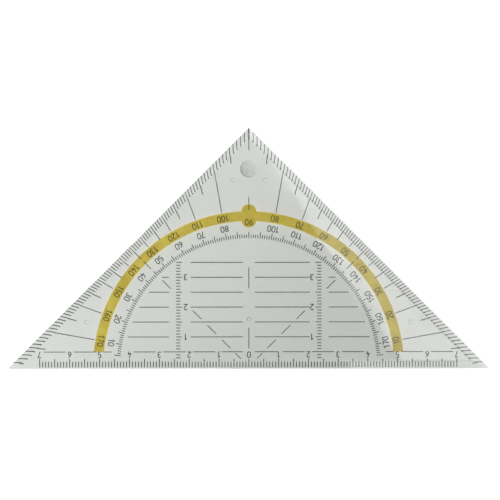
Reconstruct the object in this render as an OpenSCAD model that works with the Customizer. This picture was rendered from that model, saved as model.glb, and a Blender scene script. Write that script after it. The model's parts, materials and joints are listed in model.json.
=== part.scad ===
// Protractor set square: a clear moulded 45-45-90 plate that carries a centimetre scale, a half-circle
// protractor and a set of parallel lines, all screen-printed on its underside.
// The plate lies on the paper plane z = 0. The origin is the middle of the long edge, x runs along that
// edge and y points to the apex. Lengths are in millimetres and angles in degrees.

/* [Plate] */
// Length of the long edge over its rounded tips
long_edge = 161.6; // [159:0.2:166]
// Thickness of the plate inside its bevels
plate_t = 2; // [1.6:0.1:2.6]
// Thickness left at the rim, below the bevels
rim_t = 1.1; // [0.8:0.1:1.4]
// Width of the bevel along each edge
bevel_w = 2.6; // [1.6:0.1:3.2]
// Radius of the three corners, seen from above
corner_r = 0.2; // [0.1:0.05:0.4]

/* [Nubs] */
// Diameter of the nubs that hold the print off wet ink
nub_d = 1.4; // [1:0.1:1.8]
// Height of the nubs, which is the gap under the plate
nub_h = 0.4; // [0.25:0.05:0.6]

/* [Moulding marks] */
// Diameter of the round recess where the plastic came in
gate_d = 5.8; // [4:0.1:7]
// Depth of that recess
gate_depth = 0.35; // [0.1:0.05:0.5]
// Diameter of the shallow mark of the ejector pin
ejector_d = 4.2; // [3:0.1:5]
// Depth of the ejector pin's mark
ejector_depth = 0.08; // [0.05:0.01:0.15]

/* [Ink] */
// Thickness of one printed film
film_t = 0.04; // [0.02:0.01:0.06]
// Width of the ticks at the edges
tick_w = 0.29; // [0.2:0.01:0.34]
// Width of the ten and 45 degree lines and of the ticks inside the plate
line_w = 0.26; // [0.16:0.01:0.3]
// Width of the base line, the centre line and the parallel lines
thin_w = 0.25; // [0.14:0.01:0.28]
// Height of a numeral
digit_h = 2.15; // [1.9:0.05:2.3]
// Width of the pen that draws a numeral
pen_w = 0.28; // [0.2:0.01:0.32]

/* [Edge scale] */
// Distance from the long edge in to the zero line of all scales
zero_inset = 0.65; // [0.4:0.05:0.8]
// Centimetres marked on each side of zero
scale_cm = 7; // [5:1:7]
// Length of a millimetre tick
mm_tick = 1.95; // [1.6:0.05:2]
// Length of a five millimetre or centimetre tick
cm_tick = 2.65; // [2.4:0.05:2.8]
// Height of the base line above the zero line
base_y = 5; // [4.8:0.1:5.2]

/* [Protractor] */
// Bare rim between the degree ticks and the short edges
rim_gap = 0.4; // [0.15:0.05:0.5]
// Depth of the row of single degree ticks, square to the short edges
degree_row = 2.8; // [2.2:0.05:3]
// Length of a five degree tick
five_degree = 5.9; // [4.8:0.1:6.4]
// Radius where the ten degree lines end
ten_degree_r = 52.5; // [52.4:0.1:54]
// Radius of the middle of the yellow band
band_r = 50.5; // [50:0.1:51]
// Width of the yellow band
band_w = 3.3; // [3:0.1:3.6]
// Radius of the foot of the inner degree ring
ring_r = 43.15; // [42.8:0.05:43.6]

/* [Hidden] */

$fn = 64;

clear_plastic = [0.84, 0.86, 0.84, 0.45];
dark_ink = [0.1, 0.13, 0.13];
yellow_ink = [0.85, 0.72, 0.16];

// Half the long edge between its corners before they are rounded
tip_angle = 45;
half = long_edge / 2 + corner_r * (1 / tan(tip_angle / 2) - 1);
top_z = nub_h + plate_t;
bevel_slope = (plate_t - rim_t) / bevel_w;
// What a cutting shape runs past the plastic that it cuts
past = 1;

// Seen from the zero point, a place lies on a short edge when |x| + y comes to reach
reach = half - zero_inset;
// How far |x| + y changes for a millimetre square to a short edge
diagonal = sqrt(2);

// One nub under the middle, one near each tip and two below the apex
nub_places = [[0, 16.65], [-54.25, 15.65], [54.25, 15.65], [-5.5, 63.25], [5.5, 63.25]];
gate_y = 67;
ejector_y = 42.65;
recess_flare = 0.4;
// The stub that is left where the runner was cut off, in the middle of the gate recess
stub_d = 1.8;
stub_h = 0.7 * gate_depth;
// How far the stub and the nubs run into the plate
root = 0.3;

// A numeral is a centre line followed by a pen: half the line's width and height, half the pen's width,
// and the pitch from one numeral to the next
half_w = 0.5;
half_h = (digit_h - pen_w) / 2;
cap = pen_w / 2;
digit_pitch = 1.45;
one_pitch = 1.15;
arc_step = 30;

// The upper and the lower bowl of 3, 6, 8 and 9, and the bent stem of 6
upper_r = 0.465 * half_h;
lower_r = 0.51 * half_h;
upper_bowl = [0, half_h - upper_r];
lower_bowl = [0, lower_r - half_h];
stem_r = 1.8 * half_h;
stem_foot = [0.04 - lower_r, lower_bowl.y - 0.06];
stem_turn = asin((half_h - stem_foot.y) / stem_r);

edge_digit_y = 4.05;

// Height scales: rows at every millimetre but the base line's, by their distance from the middle
height_rows = [3, 4, for (y = [6:35]) y];
height_tick = [22.95, 24.4];
height_five = 22.4;
height_digit_x = 21.2;

// Where the straight lines break off: at the middle, at a numeral and at the degree ring. The lines on
// the right come closer to the numerals than the lines on the left.
middle_gap = 2;
digit_gap = 1.3;
one_gap = [0.7, 0.35];
ring_gap = [41.8, 46];
parallel_inner = [19.55, 20.45];
parallel_outer = 26.8;

// Dashes of the centre line and of the two 45 degree lines, by their distance from zero
centre_dashes = [[6.1, 13.1], [26.3, 33.3], [52.6, 56.9]];
apex_tick = 7.85;
diagonal_dashes = [[3.8, 6.4], [8.8, 12.8], [15.6, 19.7], [22.6, 26.6], [37, 41], [46.4, 49.9]];
diagonal_edge_r = 51;

ring_tick = 1.2;
ring_five = 2.1;
outer_digit_r = 50.35;
inner_digit_r = 46.8;

// The band swells into an upright oval at 90 degrees, with that numeral in its lower half
oval_w = 5.1;
oval_h = 7.8;
oval_y = 50.6;
ninety_y = 48.5;

// Distance from zero to the outer end of a degree tick, and to the foot of a single degree's
function rim_r(a) = (reach - rim_gap * diagonal) / (abs(cos(a)) + sin(a));
function row_r(a) = (reach - degree_row * diagonal) / (abs(cos(a)) + sin(a));
function edge_r(a) = reach / (abs(cos(a)) + sin(a));

function arc(centre, r, from, to) =
    let (steps = ceil(abs(to - from) / arc_step))
    [for (i = [0:steps]) let (a = from + (to - from) * i / steps) centre + r * [cos(a), sin(a)]];

// A full turn without its last point
function ring(centre, r) = [for (a = [0:arc_step:359]) centre + r * [cos(a), sin(a)]];
function turned(path) = [for (point = path) -point];

function left_of(a, b) = let (u = (b - a) / norm(b - a)) [-u.y, u.x];
function mitre(m, n) = (m + n) / (1 + m * n);

// The path moved to its left by d, with mitred corners
function beside(path, d, closed = false) =
    let (last = len(path) - 1)
    [for (i = [0:last])
        let (m = left_of(path[i > 0 ? i - 1 : last], path[i]))
        let (n = left_of(path[i], path[i < last ? i + 1 : 0]))
        path[i] + d * (closed || (i > 0 && i < last) ? mitre(m, n) : i == 0 ? n : m)];

module stroke(path) {
    right = beside(path, -cap);
    polygon([each beside(path, cap), for (i = [len(right) - 1:-1:0]) right[i]]);
}

module loop(path) {
    n = len(path);
    polygon(
        [each beside(path, cap, true), each beside(path, -cap, true)],
        [[for (i = [0:n - 1]) i], [for (i = [n:2 * n - 1]) i]]
    );
}

module digit_0() {
    loop([each arc([0, half_h - half_w], half_w, 0, 180), each arc([0, half_w - half_h], half_w, 180, 360)]);
}

module digit_1() {
    stroke([[0.12, -half_h - cap], [0.12, half_h + cap]]);
    stroke([[0.16, half_h], [-0.36, half_h - 0.44]]);
}

module digit_2() {
    stroke([each arc([0, half_h - half_w], half_w, 170, -35), [-half_w, -half_h]]);
    stroke([[-half_w - cap, -half_h], [half_w + cap, -half_h]]);
}

module digit_3() {
    stroke(arc(upper_bowl, upper_r, 155, -95));
    stroke(arc(lower_bowl, lower_r, 95, -155));
}

module digit_4() {
    stroke([[0.14, half_h + cap], [-0.45, -0.4]]);
    stroke([[-0.6, -0.4], [0.58, -0.4]]);
    stroke([[0.22, 0.1], [0.22, -half_h - cap]]);
}

module digit_5() {
    stroke([[-0.5, half_h], [0.48, half_h]]);
    stroke([[-0.38, half_h], [-0.42, -0.12]]);
    stroke(arc([0, half_w - half_h], half_w, 140, -145));
}

module digit_6() {
    loop(ring(lower_bowl, lower_r));
    stroke(arc(stem_foot + [stem_r, 0], stem_r, 180, 180 - stem_turn));
}

module digit_7() {
    stroke([[-half_w, half_h], [half_w + cap, half_h]]);
    stroke([[half_w, half_h], [-0.12, -half_h - cap]]);
}

module digit_8() {
    loop(ring(upper_bowl, upper_r));
    loop(ring(lower_bowl, lower_r));
}

module digit_9() {
    loop(ring(-lower_bowl, lower_r));
    stroke(turned(arc(stem_foot + [stem_r, 0], stem_r, 180, 180 - stem_turn)));
}

module digit(d) {
    if (d == 0) digit_0();
    if (d == 1) digit_1();
    if (d == 2) digit_2();
    if (d == 3) digit_3();
    if (d == 4) digit_4();
    if (d == 5) digit_5();
    if (d == 6) digit_6();
    if (d == 7) digit_7();
    if (d == 8) digit_8();
    if (d == 9) digit_9();
}

function digits_of(n) = n < 10 ? [n] : [each digits_of(floor(n / 10)), n % 10];
function pitch_of(d) = d == 1 ? one_pitch : digit_pitch;
// How far along the first count numerals reach
function run_of(digits, count) = count == 0 ? 0 : pitch_of(digits[count - 1]) + run_of(digits, count - 1);

// A whole number, upright and centred on the origin
module numeral(n) {
    digits = digits_of(n);
    start = -run_of(digits, len(digits)) / 2;
    for (i = [0:len(digits) - 1])
        translate([start + run_of(digits, i) + pitch_of(digits[i]) / 2, 0]) digit(digits[i]);
}

// A number on the degree scales: direction a from zero, its top towards zero
module degree_numeral(n, a, r) {
    rotate(a) translate([r, 0]) rotate(90) numeral(n);
}

module bar(from, to, y, width) {
    translate([from, y - width / 2]) square([to - from, width]);
}

module ray(a, from, to, width) {
    rotate(a) translate([from, -width / 2]) square([to - from, width]);
}

module both_sides() {
    children();
    mirror([1, 0]) children();
}

// Turns a flat drawing, whose zero point is its origin, into ink on the plate's underside
module ink_film() {
    color(dark_ink) translate([0, zero_inset, nub_h - film_t]) linear_extrude(film_t) children();
}

// Puts a shape drawn with its outer side to +x on each of the three edges
module on_each_edge() {
    rotate([0, 0, -90]) children();
    translate([half / 2, half / 2, 0]) rotate([0, 0, 45]) children();
    translate([-half / 2, half / 2, 0]) rotate([0, 0, 135]) children();
}

module outline() {
    tip = half - corner_r / tan(tip_angle / 2);
    polygon([
        each arc([tip, corner_r], corner_r, -90, 45),
        each arc([0, half - corner_r * diagonal], corner_r, 45, 135),
        each arc([-tip, corner_r], corner_r, 135, 270),
    ]);
}

// All that lies above the sloping face of a bevel
module bevel_cutter() {
    rotate([90, 0, 0])
        linear_extrude(2 * half + 2 * past, center = true)
            polygon([
                [past, nub_h + rim_t - bevel_slope * past],
                [past, top_z + bevel_slope * past],
                [-bevel_w - past, top_z + bevel_slope * past],
            ]);
}

// A round hollow in the top, wider at its mouth
module recess(d, depth) {
    flare_above = recess_flare / depth * past;
    translate([0, 0, top_z - depth])
        cylinder(d1 = d - 2 * recess_flare, d2 = d + 2 * flare_above, h = depth + past);
}

module plate() {
    color(clear_plastic) {
        difference() {
            translate([0, 0, nub_h]) linear_extrude(plate_t) outline();
            on_each_edge() bevel_cutter();
            translate([0, gate_y, 0]) recess(gate_d, gate_depth);
            translate([0, ejector_y, 0]) recess(ejector_d, ejector_depth);
        }
        translate([0, gate_y, top_z - gate_depth - root]) cylinder(d = stub_d, h = root + stub_h);
        for (place = nub_places)
            translate([place.x, place.y, 0]) cylinder(d = nub_d, h = nub_h + root);
    }
}

module edge_scale_ticks() {
    ink_film()
        for (mm = [-10 * scale_cm:10 * scale_cm])
            translate([mm, 0]) ray(90, 0, mm % 5 == 0 ? cm_tick : mm_tick, tick_w);
}

// The numerals read from the other side of the long edge
module edge_scale_numerals() {
    ink_film()
        for (cm = [-scale_cm:scale_cm])
            translate([10 * cm, edge_digit_y]) rotate(180) numeral(abs(cm));
}

module base_line_side(gap_at_one) {
    for (cm = [0:scale_cm - 1]) {
        from = 10 * cm + (cm == 0 ? middle_gap : digit_gap);
        to = 10 * cm + 10 - (cm == 0 ? gap_at_one : digit_gap);
        in_ring = from < ring_gap[1] && to > ring_gap[0];
        bar(in_ring ? ring_gap[1] : from, to, base_y, thin_w);
    }
}

module base_line_marks() {
    mirror([1, 0]) base_line_side(one_gap[0]);
    base_line_side(one_gap[1]);
}

module base_line() {
    ink_film() base_line_marks();
}

module parallel_side(inner_end) {
    for (y = [10:5:35]) {
        bar(middle_gap, inner_end, y, thin_w);
        outer_end = sqrt(ring_gap[0] ^ 2 - y ^ 2);
        if (outer_end > parallel_outer) bar(parallel_outer, outer_end, y, thin_w);
    }
}

module parallel_lines() {
    ink_film() {
        mirror([1, 0]) parallel_side(parallel_inner[0]);
        parallel_side(parallel_inner[1]);
    }
}

module height_scale_marks() {
    for (y = height_rows) bar(y % 5 == 0 ? height_five : height_tick[0], height_tick[1], y, line_w);
}

module height_scale_left() {
    ink_film() mirror([1, 0]) height_scale_marks();
}

module height_scale_right() {
    ink_film() height_scale_marks();
}

module height_scale_numerals() {
    ink_film()
        for (cm = [1:3], x = [-height_digit_x, height_digit_x])
            translate([x, 10 * cm]) rotate(180) numeral(cm);
}

module centre_line_marks() {
    for (dash = centre_dashes) ray(90, dash[0], dash[1], thin_w);
    ray(90, reach - apex_tick, rim_r(90), thin_w);
}

module centre_line() {
    ink_film() centre_line_marks();
}

module diagonal_line_marks() {
    for (a = [45, 135]) {
        for (dash = diagonal_dashes) ray(a, dash[0], dash[1], line_w);
        ray(a, diagonal_edge_r, rim_r(a), line_w);
    }
}

module diagonal_lines() {
    ink_film() diagonal_line_marks();
}

module degree_tick(a) {
    ray(a, a % 5 == 0 ? edge_r(a) - five_degree : row_r(a), rim_r(a), tick_w);
}

// Every degree from 1 to 89, without the tens and the 45 degree line, which are longer
module degree_row_marks() {
    for (a = [1:89])
        if (a % 10 != 0 && a != 45) degree_tick(a);
}

module degree_ticks_left() {
    ink_film() mirror([1, 0]) degree_row_marks();
}

module degree_ticks_right() {
    ink_film() degree_row_marks();
}

module ten_degree_lines() {
    ink_film()
        both_sides()
            for (a = [10:10:80]) ray(a, ten_degree_r, rim_r(a), line_w);
}

module inner_degree_ring() {
    ink_film()
        for (a = [5:175])
            ray(a, ring_r, ring_r + (a % 5 == 0 ? ring_five : ring_tick), line_w);
}

// The outer scale counts from the right, so 10 stands at 10 degrees
module outer_numeral_marks() {
    for (a = [10:10:170])
        if (a != 90) degree_numeral(a, a, outer_digit_r);
    degree_numeral(90, 90, ninety_y);
}

module outer_degree_numerals() {
    ink_film() outer_numeral_marks();
}

// The inner scale counts from the left and skips the middle
module inner_degree_numerals() {
    ink_film()
        for (a = [10:10:170])
            if (a != 90) degree_numeral(180 - a, a, inner_digit_r);
}

module band_outline() {
    difference() {
        circle(r = band_r + band_w / 2);
        circle(r = band_r - band_w / 2);
        translate([-half, base_y - 2 * half]) square(2 * half);
    }
    spread = (oval_h - oval_w) / 2;
    for (y = [oval_y - spread, oval_y + spread]) translate([0, y]) circle(d = oval_w);
    translate([0, oval_y]) square([oval_w, 2 * spread], center = true);
}

// Dark ink that the yellow film runs over, and so is hollowed by
module marks_under_band() {
    outer_numeral_marks();
    base_line_marks();
    centre_line_marks();
    diagonal_line_marks();
    both_sides()
        for (a = [35, 55]) degree_tick(a);
}

module yellow_degree_band() {
    color(yellow_ink)
        translate([0, zero_inset, nub_h - 2 * film_t])
            difference() {
                linear_extrude(2 * film_t) band_outline();
                translate([0, 0, film_t]) linear_extrude(2 * film_t) marks_under_band();
            }
}

plate();
edge_scale_ticks();
edge_scale_numerals();
base_line();
parallel_lines();
height_scale_left();
height_scale_right();
height_scale_numerals();
centre_line();
diagonal_lines();
degree_ticks_left();
degree_ticks_right();
ten_degree_lines();
inner_degree_ring();
outer_degree_numerals();
inner_degree_numerals();
yellow_degree_band();
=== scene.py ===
# %% [markdown]
# # A clear protractor set square
#
# The real object is one thin triangular plate of clear plastic, moulded in one shot. A centimetre scale,
# a protractor and a yellow band are screen-printed on its underside, so the plate protects the print.
# Small round nubs hold the print 0.3 mm above the paper, close enough to read it exactly. Nothing moves.
#
# The sizes come with the imported frame: every printed line is already a thin solid of its own, in the
# right place. What is left to make here is the plate with its softened edges, the plastic, the inks,
# the light and the camera. The box of the frame is measured now.

# %% Load the frame
import json
from math import cos, pi, radians, sin, tan

import bmesh
import bpy
from mathutils import Euler, Matrix, Vector

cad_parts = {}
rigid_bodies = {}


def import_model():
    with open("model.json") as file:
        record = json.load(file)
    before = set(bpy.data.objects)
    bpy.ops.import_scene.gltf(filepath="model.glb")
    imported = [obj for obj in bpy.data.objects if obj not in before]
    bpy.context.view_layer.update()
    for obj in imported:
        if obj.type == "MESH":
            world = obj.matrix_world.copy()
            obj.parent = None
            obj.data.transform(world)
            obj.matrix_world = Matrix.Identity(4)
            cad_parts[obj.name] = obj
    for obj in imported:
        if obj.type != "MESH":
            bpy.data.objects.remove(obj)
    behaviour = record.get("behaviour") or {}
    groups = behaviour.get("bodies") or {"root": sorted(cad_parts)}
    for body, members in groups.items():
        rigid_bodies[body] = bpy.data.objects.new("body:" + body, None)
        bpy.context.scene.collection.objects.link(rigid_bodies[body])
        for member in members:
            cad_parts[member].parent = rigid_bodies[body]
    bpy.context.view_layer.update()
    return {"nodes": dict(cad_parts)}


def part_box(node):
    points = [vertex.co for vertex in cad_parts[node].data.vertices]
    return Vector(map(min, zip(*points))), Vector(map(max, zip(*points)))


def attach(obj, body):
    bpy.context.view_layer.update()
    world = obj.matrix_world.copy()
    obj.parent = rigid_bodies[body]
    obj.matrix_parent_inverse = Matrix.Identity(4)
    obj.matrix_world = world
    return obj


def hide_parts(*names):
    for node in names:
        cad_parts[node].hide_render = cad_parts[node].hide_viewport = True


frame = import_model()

MM = 0.001


def in_mm(*places):
    """Places or sizes in metres as rounded millimetres, to print."""
    return [[round(value / MM, 2) for value in place] for place in places]


printed = sorted(set(frame["nodes"]) - {"plate"})

# %% [markdown]
# ## Measuring the plate
#
# The plate that is drawn here has to fit the print exactly, so its outline is read from the box of the
# frame's own plate and not typed in again. A short list of real sizes describes the rest: the rim, the
# bevel that runs along all three edges, and how far a mould softens each edge. A mould is never
# perfectly sharp. On clear plastic those softened edges are most of what the eye sees, because they
# bend the light away and read as thin dark or bright lines.

# %% Sizes in millimetres
low, high = (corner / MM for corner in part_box("plate"))
print_top = (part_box("edge_scale_ticks")[1] / MM).z

TIP_ANGLE, APEX_ANGLE = radians(45), radians(90)
CORNER_R = 0.2
RIM_HEIGHT = 1.1
BEVEL_WIDTH = 2.6
# The print sinks a hair into the plate, so that no two faces lie on each other
EMBED = 0.005

bottom = print_top - EMBED
top = high.z
rim_top = print_top + RIM_HEIGHT
half = high.x + CORNER_R * (1 / tan(TIP_ANGLE / 2) - 1)
print(f"half the long edge {half:.3f}, apex at {half:.3f}, plate from {bottom:.3f} to {top:.3f}")

# %% [markdown]
# ## The body of the plate
#
# Seen from above the plate is a 45-45-90 triangle with tiny round corners, and its top slopes down to a
# low rim along each edge. Such a body has no hollows, so it can be stretched over a few points like a
# skin over tent poles: three slim upright pins at the corners, whose ends are rounded, and the three
# corners of the flat top. The convex hull operator makes that skin. Insetting the top face would be the
# usual way, but it folds over itself at round corners that are smaller than the bevel is wide.
#
# The shape is worked out in millimetres and made smaller at the very end, because the operators that
# search for neighbouring points are happier with numbers near one.

# %% Stretch the body over its corners
EDGE_SOFT = 0.12
PIN_SIDES, PIN_STEPS = 40, 3
LEVEL_WITHIN = 0.01
SAME_PLANE = radians(0.5)


def inner_corners(inset):
    """The corners of the triangle that lies inset from all three edges, seen from above."""
    across = half - inset / tan(TIP_ANGLE / 2)
    apex = half - inset / sin(APEX_ANGLE / 2)
    return [Vector((-across, inset, 0)), Vector((across, inset, 0)), Vector((0, apex, 0))]


def edges_among(bm, points):
    """The edges that run between points of a given set."""
    return [edge for edge in bm.edges if points.issuperset(edge.verts)]


def soften(bm, edges, offset, steps):
    """Rounds edges in a few steps."""
    bmesh.ops.bevel(
        bm, geom=edges, offset=offset, affect="EDGES", segments=steps, profile=0.5, material=-1
    )


def rounded_pin(bm, place, radius, z_low, z_high, soft, steps=PIN_STEPS):
    """An upright pin whose two end edges are rounded by soft."""
    depth = z_high - z_low
    at = Matrix.Translation((place.x, place.y, z_low + depth / 2))
    made = bmesh.ops.create_cone(
        bm, cap_ends=True, segments=PIN_SIDES, radius1=radius, radius2=radius, depth=depth, matrix=at
    )
    rims = []
    for edge in edges_among(bm, set(made["verts"])):
        start, end = edge.verts
        if abs(start.co.z - end.co.z) < LEVEL_WITHIN:
            rims.append(edge)
    soften(bm, rims, soft, steps)


body = bmesh.new()
for place in inner_corners(CORNER_R):
    rounded_pin(body, place, CORNER_R, bottom, rim_top, EDGE_SOFT)
for place in inner_corners(BEVEL_WIDTH):
    body.verts.new((place.x, place.y, top))
hull = bmesh.ops.convex_hull(body, input=body.verts)
left_over = set(hull["geom_interior"] + hull["geom_unused"])
inside = [vert for vert in body.verts if vert in left_over]
bmesh.ops.delete(body, geom=inside, context="VERTS")
bmesh.ops.dissolve_limit(body, angle_limit=SAME_PLANE, verts=body.verts, edges=body.edges)
print("body:", len(body.verts), "points,", len(body.faces), "faces")

# %% [markdown]
# ## Softening the crease
#
# Where the bevel meets the flat top the two faces differ by only 19 degrees. The mould was polished by
# hand there, so the crease is a soft turn and no line. A bevel of the three edges of the top face, in a
# few steps, gives that turn. A Bevel modifier that goes by angle would round every sharper edge as well,
# while the operator takes just these three.

# %% Round the crease between the flat top and the bevels
CREASE, CREASE_STEPS = 0.3, 3

top_face = max(body.faces, key=lambda face: face.calc_center_median().z)
soften(body, list(top_face.edges), CREASE, CREASE_STEPS)
bmesh.ops.recalc_face_normals(body, faces=body.faces)


def to_object(bm, name):
    """Turns a finished bmesh into an object in the scene."""
    mesh = bpy.data.meshes.new(name)
    bm.to_mesh(mesh)
    bm.free()
    made = bpy.data.objects.new(name, mesh)
    bpy.context.scene.collection.objects.link(made)
    return made


body = to_object(body, "plate_body")
print("body faces:", len(body.data.polygons))

# %% [markdown]
# ## The recesses
#
# Near the apex is the gate, the round recess where the molten plastic came in. A shallower disc lower
# down is the mark of an ejector pin. Real hollows bend the light in ways that a painted ring can't, so
# they are shapes. Each is cut with a plug: a short cone that widens upwards, because a mould has to let
# go of the plastic. It stands past the top of the plate, so that the cut is clean.

# %% Plugs for the gate and the ejector mark
GATE_PLACE, GATE_R, GATE_DEPTH, GATE_SOFT = Vector((0, 67, 0)), 2.9, 0.35, 0.2
EJECTOR_PLACE, EJECTOR_R, EJECTOR_DEPTH, EJECTOR_SOFT = Vector((0, 42.65, 0)), 2.1, 0.08, 0.04
PLUG_SIDES, PLUG_STEPS = 64, 4
# How much smaller in radius the floor of a recess is than its mouth, and how far the plug stands past it
FLARE, PAST = 0.4, 1


def recess_plug(bm, place, radius, depth, soft):
    """A plug that widens upwards, with a rounded lower edge."""
    height = depth + PAST
    above = radius + FLARE * PAST / depth
    at = Matrix.Translation((place.x, place.y, top - depth + height / 2))
    made = bmesh.ops.create_cone(
        bm, cap_ends=True, segments=PLUG_SIDES, radius1=radius - FLARE, radius2=above, depth=height, matrix=at
    )
    floor = {vert for vert in made["verts"] if vert.co.z < top}
    soften(bm, edges_among(bm, floor), soft, PLUG_STEPS)


plugs = bmesh.new()
recess_plug(plugs, GATE_PLACE, GATE_R, GATE_DEPTH, GATE_SOFT)
recess_plug(plugs, EJECTOR_PLACE, EJECTOR_R, EJECTOR_DEPTH, EJECTOR_SOFT)
plugs = to_object(plugs, "plugs")
print("plug faces:", len(plugs.data.polygons))

# %% [markdown]
# ## The stub and the nubs
#
# The floor of the gate keeps a low stub where the runner was cut off. On the underside five small round
# nubs keep the plate off wet ink. Both are pins like those at the corners of the plate, and each reaches
# a little way into the plate. They could simply be left standing there, but clear plastic would show the
# ends inside it, so the next step joins them to the plate.

# %% Pins for the stub and the nubs
STUB_R, STUB_HEIGHT, STUB_SOFT = 0.9, 0.245, 0.1
NUB_R, NUB_SOFT, NUB_STEPS = 0.7, 0.3, 5
NUB_PLACES = [(0, 16.65), (-54.25, 15.65), (54.25, 15.65), (-5.5, 63.25), (5.5, 63.25)]
# How far a pin reaches into the plate
ROOT = 0.3

gate_floor = top - GATE_DEPTH
pins = bmesh.new()
rounded_pin(pins, GATE_PLACE, STUB_R, gate_floor - ROOT, gate_floor + STUB_HEIGHT, STUB_SOFT)
for place in NUB_PLACES:
    rounded_pin(pins, Vector(place), NUB_R, low.z, bottom + ROOT, NUB_SOFT, NUB_STEPS)
pins = to_object(pins, "pins")
print("pin faces:", len(pins.data.polygons))

# %% [markdown]
# ## One closed plate
#
# Two boolean modifiers finish the shape: the first cuts the recesses, the second joins the nubs and the
# stub. The faces could be divided and pushed by hand as well, but a boolean finds each cut by itself.
# The result is read back as a plain mesh. The mouth of each recess is still razor sharp there, so its
# ring of edges is bevelled.

# %% Cut, join and soften the mouths
for operation, other in (("DIFFERENCE", plugs), ("UNION", pins)):
    step = body.modifiers.new(operation.lower(), "BOOLEAN")
    step.operation = operation
    step.object = other
    step.solver = "EXACT"

shape = bmesh.new()
shape.from_object(body, bpy.context.evaluated_depsgraph_get())
for used in (body, plugs, pins):
    bpy.data.objects.remove(used)

MERGE_WITHIN = 0.0005
TOP_WITHIN, RING_WITHIN = 0.001, 0.02
MOUTH_STEPS = 3
# The middle and radius of each mouth, and how far its edge is rounded
MOUTHS = [(GATE_PLACE, GATE_R, 0.1), (EJECTOR_PLACE, EJECTOR_R, 0.05)]


def on_mouth(vert, place, radius):
    """True for a point of the ring where a recess meets the flat top."""
    from_ring = (vert.co.xy - place.xy).length - radius
    return abs(vert.co.z - top) < TOP_WITHIN and abs(from_ring) < RING_WITHIN


bmesh.ops.remove_doubles(shape, verts=shape.verts, dist=MERGE_WITHIN)
for place, radius, soft in MOUTHS:
    mouth = edges_among(shape, {vert for vert in shape.verts if on_mouth(vert, place, radius)})
    soften(shape, mouth, soft, MOUTH_STEPS)
    print("mouth edges softened:", len(mouth))

# %% [markdown]
# ## Shading and size
#
# Smooth shading blends the light from face to face, which is right only where small faces stand for one
# curve: the softened mouths, the nubs and the round corners. A long thin face beside a crease would be
# blended from end to end and mirror the lamps in streaks, so it stays flat, and so does every face that
# lies the same way as a wide one. Then the plate is made a thousand times smaller, from millimetres to
# metres.

# %% Shade the small curves and finish the mesh
# In square millimetres and millimetres, because the mesh is still in millimetres here
WIDE_AREA, SHORT_EDGE = 1.5, 1
SAME_WAY = cos(radians(0.3))

wide_ways = [face.normal.copy() for face in shape.faces if face.calc_area() > WIDE_AREA]
for face in shape.faces:
    small = max(edge.calc_length() for edge in face.edges) < SHORT_EDGE
    face.smooth = small and all(face.normal.dot(way) < SAME_WAY for way in wide_ways)
bmesh.ops.transform(shape, matrix=Matrix.Scale(MM, 4), verts=shape.verts)
open_edges = sum(not edge.is_manifold for edge in shape.edges)
plate = to_object(shape, "moulded_plate")
print("plate faces:", len(plate.data.polygons), "open edges:", open_edges)

# %% [markdown]
# ## Joining the frame
#
# The new plate stands for the plain one of the frame, which is no longer shown, and it moves with the
# same body. The printed nodes stay as they are and only get better inks.

# %% Put the plate in its place
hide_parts("plate")
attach(plate, "root")
print("plate size in mm:", in_mm(plate.dimensions))

# %% [markdown]
# ## A small kit for materials
#
# A material is a little network of nodes. One function turns the colour a designer would write, an sRGB
# hex value, into the linear numbers that light is reckoned in. Another adds a node, sets its properties
# and fills its inputs, with a plain value or with a link from another node. Patterns read Object
# coordinates, in metres, so a pattern's scale is one over a real size and doesn't change with the mesh.

# %% Colour and node helpers
def colour(code):
    """An sRGB hex value as linear red, green, blue and alpha."""
    channels = [int(code[i:i + 2], 16) / 255 for i in (0, 2, 4)]
    linear = [c / 12.92 if c <= 0.04045 else ((c + 0.055) / 1.055) ** 2.4 for c in channels]
    return (*linear, 1)


def add(tree, kind, inputs=None, **properties):
    """Adds a node with its properties, and its inputs from values or from other nodes' outputs."""
    node = tree.nodes.new("ShaderNode" + kind)
    for name, value in properties.items():
        setattr(node, name, value)
    for name, value in (inputs or {}).items():
        if isinstance(value, bpy.types.NodeSocket):
            tree.links.new(value, node.inputs[name])
        else:
            node.inputs[name].default_value = value
    return node


def new_material(name):
    """An empty material: itself, its node tree and its Object coordinates."""
    made = bpy.data.materials.new(name)
    made.use_nodes = True
    made.node_tree.nodes.clear()
    return made, made.node_tree, add(made.node_tree, "TexCoord").outputs["Object"]


def set_surface(tree, shader):
    """Makes a shader the surface of its material."""
    add(tree, "OutputMaterial", {"Surface": shader.outputs[0]})


def dress(made, *objects):
    """Gives objects one material in place of what they had."""
    for item in objects:
        item.data.materials.clear()
        item.data.materials.append(made)


print("mid grey 808080 is", round(colour("808080")[0], 3), "in linear light")

# %% [markdown]
# ## Clear polystyrene: scratches and smudges
#
# Rulers like this one are injection-moulded from clear polystyrene: very transparent, hard, glossy and
# a little grey-green when it lies on white paper. Its refractive index is 1.59, higher than window
# glass, so about five percent of the light bounces off each face.
#
# Three things keep it from looking like perfect glass: wear, the torn gate, and the ripples in which the
# plastic froze. Wear comes first. Years in a pencil case leave fine scratches and a greasy film, which
# spread the reflections. Two noises stretched in crossing directions give the scratches, where only
# their rare highest values are let through, and a cloudy one gives the film. A picture of scratches
# could be laid on the plate too, but it would blur or repeat when the camera comes close.

# %% Wear of the plastic
plastic, tree, at = new_material("injection_moulded_clear_polystyrene")

# Scratches of a few hundredths of a millimetre are drawn 0.25 mm wide, so that they show at all
SCRATCH_GRAIN = 1.2
SCRATCH_PEAKS = (0.66, 0.74)
# The two directions in degrees, and how many times longer than wide the grain is in each
SCRATCH_TURNS = {35: 16, -62: 20}
# A greasy film in patches of a centimetre or so
SMUDGE_SIZE = 11
SMUDGE_PEAKS = (0.42, 0.68)

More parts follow.
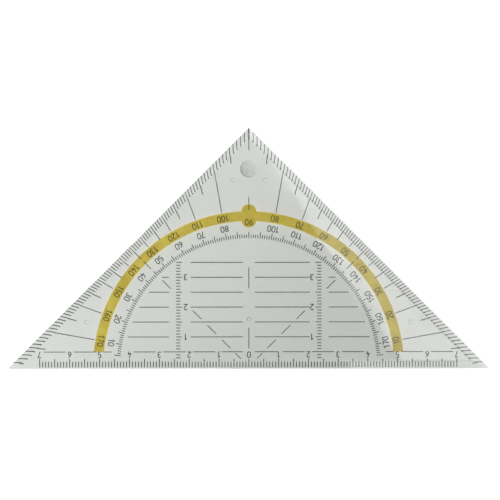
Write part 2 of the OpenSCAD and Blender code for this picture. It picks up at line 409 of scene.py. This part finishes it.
runs = []
for turn, length in SCRATCH_TURNS.items():
    ways = {"Vector": at, "Rotation": (0, 0, radians(turn)), "Scale": (1, length, 1)}
    drawn_out = add(tree, "Mapping", ways, vector_type="TEXTURE").outputs[0]
    grain = {"Vector": drawn_out, "Scale": 1 / (SCRATCH_GRAIN * MM), "Detail": 2, "Roughness": 0.6}
    runs.append(add(tree, "TexNoise", grain).outputs["Fac"])
crossed = add(tree, "Math", {0: runs[0], 1: runs[1]}, operation="MAXIMUM").outputs[0]
peaks = {"Value": crossed, "From Min": SCRATCH_PEAKS[0], "From Max": SCRATCH_PEAKS[1]}
scratches = add(tree, "MapRange", peaks).outputs[0]

clouds = {"Vector": at, "Scale": 1 / (SMUDGE_SIZE * MM), "Detail": 4, "Roughness": 0.55}
film = add(tree, "TexNoise", clouds).outputs["Fac"]
peaks = {"Value": film, "From Min": SMUDGE_PEAKS[0], "From Max": SMUDGE_PEAKS[1]}
smudges = add(tree, "MapRange", peaks).outputs[0]
print("scratches along", list(SCRATCH_TURNS), "degrees, smudges of", SMUDGE_SIZE, "mm")

# %% [markdown]
# ## Finding the gate
#
# The gate recess is rough where the runner was torn off, and it is darkened by dust and by painted shade. It
# could be a second material on faces of its own, but then roughness and darkening would end at a hard line.
# So the one
# material finds the gate: the distance from its middle, seen from above, says how far out a point
# lies, and the height says whether it is on the upper face.

# %% Where the gate is
GATE_BLUR = 0.1

from_gate = add(tree, "VectorMath", {0: at, 1: GATE_PLACE * MM}, operation="SUBTRACT").outputs[0]
seen_flat = add(tree, "VectorMath", {0: from_gate, 1: (1, 1, 0)}, operation="MULTIPLY").outputs[0]
gate_r = add(tree, "VectorMath", {0: seen_flat}, operation="LENGTH").outputs["Value"]
height = add(tree, "SeparateXYZ", {0: at}).outputs["Z"]
on_top = add(tree, "Math", {0: height, 1: rim_top * MM}, operation="GREATER_THAN").outputs[0]
inwards = {"Value": gate_r, "From Min": (GATE_R + GATE_BLUR) * MM, "From Max": (GATE_R - GATE_BLUR) * MM}
recess = add(tree, "MapRange", inwards).outputs[0]
gate = add(tree, "Math", {0: recess, 1: on_top}, operation="MULTIPLY").outputs[0]
print("gate within", GATE_R, "mm of", tuple(GATE_PLACE.xy))

# %% [markdown]
# ## Dust and painted shade in the gate
#
# The gate is darkened by dust and by painted shade: painted shade with some dust in the corner between
# floor and wall, dust in clots on the floor, and more painted shade on the lower left side than on the
# other. Three patterns say that: a ring, a noise and a ramp across the recess.

# %% Dust and painted shade
# The radii between which the corner of the floor lies
CORNER_FROM, CORNER_TO = GATE_R - 0.6, GATE_R - 0.2
# The corner ring is painted shade where the wall shades the floor, with some dust in it
CORNER_SHADE_AND_DUST = 0.95
CLOT_SIZE = 0.9
CLOT_PEAKS, CLOT_DUST = (0.35, 0.65), (0.1, 0.55)
# The ramp is painted shade: the lower left side of the recess is darker than the upper right
SHADE_SIDE = Vector((-0.85, -0.53, 0))
DUST_EVERYWHERE = 0.24

outwards = {"Value": gate_r, "From Min": CORNER_FROM * MM, "From Max": CORNER_TO * MM, "To Max": CORNER_SHADE_AND_DUST}
corner = add(tree, "MapRange", outwards).outputs[0]
specks = add(tree, "TexNoise", {"Vector": at, "Scale": 1 / (CLOT_SIZE * MM), "Detail": 2}).outputs["Fac"]
thinly = {
    "Value": specks,
    "From Min": CLOT_PEAKS[0],
    "From Max": CLOT_PEAKS[1],
    "To Min": CLOT_DUST[0],
    "To Max": CLOT_DUST[1],
}
clots = add(tree, "MapRange", thinly).outputs[0]
side = add(tree, "VectorMath", {0: seen_flat, 1: SHADE_SIDE}, operation="DOT_PRODUCT").outputs["Value"]
across = {"Value": side, "From Min": -GATE_R * MM, "From Max": GATE_R * MM}
leaning = add(tree, "MapRange", across).outputs[0]
dust_and_shade = add(tree, "Math", {0: clots, 1: corner}, operation="MAXIMUM").outputs[0]
dust_and_shade = add(tree, "Math", {0: dust_and_shade, 1: leaning, 2: DUST_EVERYWHERE}, operation="MULTIPLY_ADD").outputs[0]
dust_and_shade = add(tree, "Math", {0: dust_and_shade, 1: gate}, operation="MULTIPLY").outputs[0]
print("dust corner from", round(CORNER_FROM, 2), "to", round(CORNER_TO, 2), "mm")

# %% [markdown]
# ## Roughness and ripples
#
# The wear becomes roughness: hardly any on clean plastic, more under the film and most in a scratch. The
# gate adds its own, strongest on the broken stub and in the corner. The relief is made of two bumps on
# top of each other: the long ripples in which the plastic froze as it flowed in, and the torn grain of
# the gate, each with its real height in hundredths of a millimetre.

# %% Roughness and relief of the plastic
CLEAN, SMUDGED = 0.02, 0.07
SCRATCH_ROUGH = 0.12
BREAK_ROUGH, GATE_ROUGH = 0.7, 0.15
STUB_BLUR, STUB_SHARE = 0.2, 0.6
RIPPLE_SIZE, RIPPLE_HEIGHT = 14, 0.02
TORN_SIZE, TORN_HEIGHT = 0.7, 0.03

worn = add(tree, "MapRange", {"Value": smudges, "To Min": CLEAN, "To Max": SMUDGED}).outputs[0]
worn = add(tree, "Math", {0: scratches, 1: SCRATCH_ROUGH, 2: worn}, operation="MULTIPLY_ADD").outputs[0]
inwards = {
    "Value": gate_r,
    "From Min": (STUB_R + STUB_BLUR) * MM,
    "From Max": STUB_R * MM,
    "To Max": STUB_SHARE,
}
stub = add(tree, "MapRange", inwards).outputs[0]
broken = add(tree, "Math", {0: stub, 1: corner}, operation="MAXIMUM").outputs[0]
broken = add(tree, "Math", {0: broken, 1: BREAK_ROUGH, 2: GATE_ROUGH}, operation="MULTIPLY_ADD").outputs[0]
roughness = add(tree, "Math", {0: gate, 1: broken, 2: worn}, operation="MULTIPLY_ADD").outputs[0]

ripples = add(tree, "TexNoise", {"Vector": at, "Scale": 1 / (RIPPLE_SIZE * MM), "Detail": 1}).outputs["Fac"]
relief = add(tree, "Bump", {"Height": ripples, "Distance": RIPPLE_HEIGHT * MM, "Strength": 1}).outputs[0]
torn = add(tree, "TexNoise", {"Vector": at, "Scale": 1 / (TORN_SIZE * MM), "Detail": 2}).outputs["Fac"]
torn = add(tree, "Math", {0: torn, 1: gate}, operation="MULTIPLY").outputs[0]
on_ripples = {"Height": torn, "Distance": TORN_HEIGHT * MM, "Strength": 1, "Normal": relief}
relief = add(tree, "Bump", on_ripples).outputs[0]
print("ripples", RIPPLE_HEIGHT, "mm high, torn grain", TORN_HEIGHT, "mm high")

# %% [markdown]
# ## The plastic itself
#
# A Principled shader with full transmission refracts and reflects as clear plastic does, and its base
# colour tints what comes through: dust and painted shade darken it in the gate. Light that has to find its
# way through real refraction makes a noisy picture, though. So for shadows and for light on its way from a
# matt surface, the plate is a plain tinted filter, and for everything that the camera sees, it refracts.

# %% Put the plastic together
PLASTIC_TINT = colour("E1E2E1")
DUST_AND_SHADE_TINT = colour("314D49")
FILTER_TINT = colour("DDDEDC")

tint = add(tree, "ValToRGB", {"Fac": dust_and_shade})
# The gate is tinted towards a dark grey-green: dust, and painted shade in the corner and on the lower left
for stop, shade in zip(tint.color_ramp.elements, (PLASTIC_TINT, DUST_AND_SHADE_TINT)):
    stop.color = shade
# What it gives the eye: a hard, clear body with a grey-green cast, sharp mirror images and faint wear
look = {
    "Base Color": tint.outputs["Color"],
    "Roughness": roughness,
    "IOR": 1.59,
    "Transmission Weight": 1,
    "Normal": relief,
}
clear = add(tree, "BsdfPrincipled", look).outputs[0]
filtered = add(tree, "BsdfTransparent", {"Color": FILTER_TINT}).outputs[0]
ray = add(tree, "LightPath").outputs
kinds = {0: ray["Is Shadow Ray"], 1: ray["Is Diffuse Ray"]}
as_filter = add(tree, "Math", kinds, operation="MAXIMUM").outputs[0]
set_surface(tree, add(tree, "MixShader", {0: as_filter, 1: clear, 2: filtered}))
dress(plastic, plate)
print("plastic nodes:", len(tree.nodes))

# %% [markdown]
# ## Screen ink
#
# A screen-printed ink is pushed through a fine mesh and baked dry. It is matt and almost opaque, but the
# film is only as even as the mesh lets it be, so it is thinner and lighter in places. One noise drifts
# between a thin and a thick colour, and a finer one, as coarse as the mesh, gives the ink tooth. All
# inks here are made this way, so one function makes them.
#
# The print hangs 0.3 mm above the table. Its shadow would double every line, which the photograph
# doesn't show, so light passes the ink almost unweakened on its way to the table.

# %% How an ink is made
THIN_AT, THICK_AT = 0.35, 0.65
MESH_SIZE, MESH_HEIGHT = 0.12, 0.01
MATT_SPREAD = 0.1


def screen_ink(name, thin, thick, patch, roughness, shade):
    """An ink that drifts between a thin and a thick colour in patches of a size in millimetres.

    Its shadow on the table has the colour shade.
    """
    made, tree, at = new_material(name)
    drift = {"Vector": at, "Scale": 1 / (patch * MM), "Detail": 3, "Roughness": 0.6}
    film = add(tree, "ValToRGB", {"Fac": add(tree, "TexNoise", drift).outputs["Fac"]})
    for stop, place, code in zip(film.color_ramp.elements, (THIN_AT, THICK_AT), (thin, thick)):
        stop.position = place
        stop.color = colour(code)
    weave = add(tree, "TexNoise", {"Vector": at, "Scale": 1 / (MESH_SIZE * MM), "Detail": 1}).outputs["Fac"]
    tooth = add(tree, "Bump", {"Height": weave, "Distance": MESH_HEIGHT * MM, "Strength": 0.6}).outputs[0]
    spread = {"Value": weave, "To Min": roughness - MATT_SPREAD, "To Max": roughness + MATT_SPREAD}
    look = {
        "Base Color": film.outputs["Color"],
        "Roughness": add(tree, "MapRange", spread).outputs[0],
        "IOR": 1.5,
        "Specular IOR Level": 0.2,
        "Normal": tooth,
    }
    surface = add(tree, "BsdfPrincipled", look).outputs[0]
    see_through = add(tree, "BsdfTransparent", {"Color": colour(shade)}).outputs[0]
    for_shadows = add(tree, "LightPath").outputs["Is Shadow Ray"]
    set_surface(tree, add(tree, "MixShader", {0: for_shadows, 1: surface, 2: see_through}))
    return made


print("a mesh of", MESH_SIZE, "mm leaves marks", MESH_HEIGHT, "mm high")

# %% [markdown]
# ## Dark ink
#
# The lines and numerals are a blackish green ink, in patches of a third of a millimetre. The numerals
# on the yellow band look browner, because the two inks mix a little there. One material would have to
# find the band for that, so those numerals simply get the same ink in another shade.

# %% The dark ink
# What it gives the eye: matt blackish green lines, a little lighter where the film is thin
dark_ink = screen_ink(
    "screen_printed_dark_ink", "242D2C", "121818", patch=0.35, roughness=0.55, shade="FCFCFC"
)
dark_nodes = [name for name in printed if name not in ("yellow_degree_band", "outer_degree_numerals")]
dress(dark_ink, *(frame["nodes"][name] for name in dark_nodes))

# What it gives the eye: the same matt ink, turned olive brown by the yellow around it
stained_ink = screen_ink(
    "screen_printed_stained_ink", "2D2C18", "18170C", patch=0.35, roughness=0.55, shade="FCFCFC"
)
dress(stained_ink, frame["nodes"]["outer_degree_numerals"])
print("dark ink on", len(dark_nodes), "nodes, stained ink on 1")

# %% [markdown]
# ## Yellow ink
#
# The band is a second pass of a warm yellow. A wide area of ink never comes out even: it is stronger
# here and greener there, in patches of a few millimetres, which is how it looks in the light.

# %% The yellow ink
# What it gives the eye: a matt mustard yellow that drifts between a lighter and a stronger shade
yellow_ink = screen_ink(
    "screen_printed_yellow_ink", "BBAA4B", "AB983A", patch=5, roughness=0.5, shade="FDFBEC"
)
dress(yellow_ink, frame["nodes"]["yellow_degree_band"])
print("yellow ink on 1 node")

# %% [markdown]
# ## The table
#
# The plate lies on a sheet of white card, which takes its soft shadow. One square face is enough, a hair
# under the nubs, and so wide that its end doesn't show against the white room. It is the stage and not
# a part of the object.

# %% Lay the card
CARD_SIZE, CARD_GAP = 6000, 0.01

card_mesh = bmesh.new()
below = Matrix.Translation((0, 0, -CARD_GAP * MM))
bmesh.ops.create_grid(card_mesh, x_segments=1, y_segments=1, size=CARD_SIZE * MM / 2, matrix=below)
card = to_object(card_mesh, "card")
print("card", CARD_SIZE, "mm wide,", CARD_GAP, "mm under the nubs")

# %% [markdown]
# ## White card
#
# Paper board is matt, with a tone that hardly changes from fibre to fibre. A diffuse shader and a faint
# noise give that.
#
# The lamps stand close, so the card would turn grey a hand's breadth beyond the plate. Just past the
# tips a light of its own sets in, and keeps it white for the camera, for reflections and for what is
# seen through the plastic. Under and beside the plate it has none, so the shadow stays, and matt
# surfaces don't see it, so it lights nothing. More lamps could do it too, but they would show as
# glints on the plate.

# %% The card's surface
FIBRE_SIZE = 0.5
# Distances from the middle of the long edge
LIFT_FROM, LIFT_TO = 95, 130

# What it gives the eye: an even, matt white whose fibres are too fine to see at this distance
card_white, tree, at = new_material("matt_white_card")
fibres = add(tree, "TexNoise", {"Vector": at, "Scale": 1 / (FIBRE_SIZE * MM), "Detail": 3}).outputs["Fac"]
tone = add(tree, "ValToRGB", {"Fac": fibres})
for stop, code in zip(tone.color_ramp.elements, ("F7F7F6", "FBFBFB")):
    stop.color = colour(code)
paper = add(tree, "BsdfDiffuse", {"Color": tone.outputs["Color"]}).outputs[0]

ray = add(tree, "LightPath").outputs
seen = add(tree, "Math", {0: ray["Is Camera Ray"], 1: ray["Is Glossy Ray"]}, operation="MAXIMUM").outputs[0]
seen = add(tree, "Math", {0: seen, 1: ray["Is Transmission Ray"]}, operation="MAXIMUM").outputs[0]
away = add(tree, "VectorMath", {0: at}, operation="LENGTH").outputs["Value"]
beyond = {"Value": away, "From Min": LIFT_FROM * MM, "From Max": LIFT_TO * MM}
away = add(tree, "MapRange", beyond).outputs[0]
lift = add(tree, "Math", {0: seen, 1: away}, operation="MULTIPLY").outputs[0]
lifted = add(tree, "Emission", {"Color": colour("FFFFFF"), "Strength": lift}).outputs[0]
set_surface(tree, add(tree, "AddShader", {0: paper, 1: lifted}))
dress(card_white, card)
print("card lifted to white from", LIFT_FROM, "to", LIFT_TO, "mm")

# %% [markdown]
# ## Soft light
#
# The photograph is brightest at the left tip and darkest right of the middle, so a soft lamp stands
# close by on the left and another one behind the apex. A third one, weak and low, lights the right tip.
# Each is an area light, which the camera can't see.
#
# A glossy plate mirrors whatever hangs at the right angle. The lamps keep clear of the places that its
# flat top, its bevels and the ridges between them mirror to the camera, so that no glint burns out.

# %% Lamps
# Where each lamp stands, what it aims at and its two sides, in millimetres, and its power in watts
LAMPS = {
    "lamp_left": ((-250, -40, 200), (-120, 0, 0), (120, 120), 1.26),
    "lamp_above": ((-50, 275, 200), (-25, 60, 0), (110, 80), 1.24),
    "lamp_right": ((135, -12, 40), (70, 5, 0), (30, 30), 0.045),
}


def soft_lamp(name, place, aim, size, power):
    """A rectangular lamp at a place, turned to an aim, all in millimetres."""
    light = bpy.data.lights.new(name, "AREA")
    light.shape = "RECTANGLE"
    light.size = size[0] * MM
    light.size_y = size[1] * MM
    light.energy = power
    lamp = bpy.data.objects.new(name, light)
    lamp.location = Vector(place) * MM
    lamp.rotation_euler = (Vector(place) - Vector(aim)).to_track_quat("Z", "Y").to_euler()
    lamp.visible_camera = False
    bpy.context.scene.collection.objects.link(lamp)
    return lamp


for name, settings in LAMPS.items():
    soft_lamp(name, *settings)
print("lamps:", list(LAMPS))

# %% [markdown]
# ## The room
#
# The room adds a dim light from everywhere. It looks white to the camera, also through the clear edges,
# which would be black otherwise. Its white walls are mirrored too, at a low angle, while the ceiling
# that the flat top mirrors upwards is dim. Real walls could stand around the plate, but they would catch
# the camera's other views, so the world does it: it knows the direction and the kind of each ray.

# %% World
ROOM_LIGHT = 0.02
# The heights, as sines of the angle above the horizon, where the white walls end and the ceiling begins
WALL_TOP, CEILING = 0.6, 0.75

world = bpy.data.worlds.new("room")
bpy.context.scene.world = world
world.use_nodes = True
tree = world.node_tree
tree.nodes.clear()
direction = add(tree, "TexCoord").outputs["Generated"]
upward = add(tree, "SeparateXYZ", {0: direction}).outputs["Z"]
walls = add(tree, "MapRange", {"Value": upward, "From Min": CEILING, "From Max": WALL_TOP}).outputs[0]
ray = add(tree, "LightPath").outputs
mirrored = add(tree, "Math", {0: ray["Is Glossy Ray"], 1: walls}, operation="MULTIPLY").outputs[0]
kinds = {0: ray["Is Camera Ray"], 1: ray["Is Transmission Ray"]}
seen = add(tree, "Math", kinds, operation="MAXIMUM").outputs[0]
seen = add(tree, "Math", {0: seen, 1: mirrored}, operation="MAXIMUM").outputs[0]
brightness = add(tree, "MapRange", {"Value": seen, "To Min": ROOM_LIGHT, "To Max": 1}).outputs[0]
sky = add(tree, "Background", {"Color": colour("FFFFFF"), "Strength": brightness})
add(tree, "OutputWorld", {"Surface": sky.outputs[0]})
print("room light:", ROOM_LIGHT)

# %% [markdown]
# ## The camera
#
# The photograph looks almost straight down from about 80 cm, with a long lens. The right end of the
# plate is slightly smaller than the left one, so the camera leans by two degrees. The printed grid
# gives all of that: a set of points whose millimetres are known was matched to the picture.

# %% Place the camera
AIM = Vector((0.39, 39.79, 1.1)) * MM
TURN = Euler((radians(0.318), radians(-1.916), radians(-0.02)))
DISTANCE = 800 * MM
PICTURE_WIDTH = 500
FOCAL_PIXELS = 2384.3
SENSOR_WIDTH = 36

lens = bpy.data.cameras.new("camera")
lens.sensor_width = SENSOR_WIDTH
lens.lens = FOCAL_PIXELS / PICTURE_WIDTH * SENSOR_WIDTH
camera = bpy.data.objects.new("camera", lens)
camera.rotation_euler = TURN
camera.location = AIM + TURN.to_matrix().col[2] * DISTANCE
bpy.context.scene.collection.objects.link(camera)
bpy.context.scene.camera = camera
print("camera at", in_mm(camera.location), "mm, lens", round(lens.lens, 1), "mm")

# %% [markdown]
# ## The veil
#
# In the photograph the right part of the plate lies under a pale veil with a straight slanting edge: a
# bright window is mirrored there. Painted on the plastic it would stay put when the view turns, so a
# real pane of light hangs where the window was. A veil only shows where the camera, the plate and the
# pane make a mirror's angles. When a pane hangs as high as the camera, each point of the flat top
# mirrors a point twice as far from the camera's foot. So two points of the plate where the veil begins
# give the straight edge of the near pane, which spreads to the right of it.
#
# The bevels lean by 19 degrees and mirror places much farther out. Three more panes hang there: the far
# one for the bevel on the right, the low one for the right half of the bevel in front, and the left
# one for the upper half of the bevel on the left.

# %% Panes at the height of the camera
VEIL_EDGE = [Vector((2, 77.6)), Vector((45, 12.6))]
PANE_LENGTH = 540
# How far from the veil's edge each long pane begins and ends, and its radiance
LONG_PANES = {"pane_near": (0, 140, 1.9), "pane_far": (560, 780, 3)}
# The middle, the two sides, the turn and the radiance of the other two
SMALL_PANES = {
    "pane_low": ((178, -680), (128, 120), 0, 2.3),
    "pane_left": ((-455, 533), (190, 120), radians(45), 0.8),
}

foot = camera.location.xy / MM
start, end = (2 * point - foot for point in VEIL_EDGE)
along = (end - start).normalized()
outward = Vector((-along.y, along.x))
pane_height = camera.location.z / MM


def hang_pane(name, middle, size, turn, radiance):
    """A level panel at the height of the camera, as bright all over as its radiance says."""
    power = radiance * pi * size[0] * size[1] * MM * MM
    pane = soft_lamp(name, (*middle, pane_height), (*middle, 0), size, power)
    pane.rotation_euler = (0, 0, turn)
    print(name, "at", [round(value) for value in (*middle, pane_height)], "mm,", round(power, 2), "W")


for name, (begins, ends, radiance) in LONG_PANES.items():
    middle = (start + end) / 2 + outward * (begins + ends) / 2
    hang_pane(name, middle, (PANE_LENGTH, ends - begins), along.angle_signed(Vector((1, 0))), radiance)
for name, settings in SMALL_PANES.items():
    hang_pane(name, *settings)

# %% [markdown]
# ## Finish
#
# The colours leave as plain sRGB.

# %% Finish
bpy.context.scene.view_settings.view_transform = "Standard"
